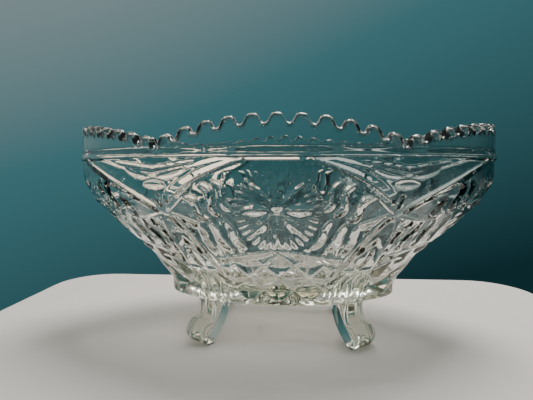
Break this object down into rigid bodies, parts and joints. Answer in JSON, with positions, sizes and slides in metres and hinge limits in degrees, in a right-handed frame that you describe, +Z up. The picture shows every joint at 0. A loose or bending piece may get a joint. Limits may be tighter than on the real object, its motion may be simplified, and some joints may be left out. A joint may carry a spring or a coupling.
{
  "type": "depression glass candy dish",
  "caption": "Boat-shaped pressed-glass candy dish with a lobed, scalloped rim band, a patterned flaring bowl and scroll feet.",
  "frame": {"origin": "on the table, under the middle of the dish", "axes": "+X along the dish towards its right end, +Y towards its back long side, +Z up"},
  "size_m": [0.1916, 0.1068, 0.0935],
  "materials": {
    "glass": "fire_polished"
  },
  "bodies": {
    "root": {"bowl_body": "glass", "rim_band": "glass", "foot_front_left": "glass", "foot_front_right": "glass", "foot_back_left": "glass", "foot_back_right": "glass"}
  },
  "joints": []
}
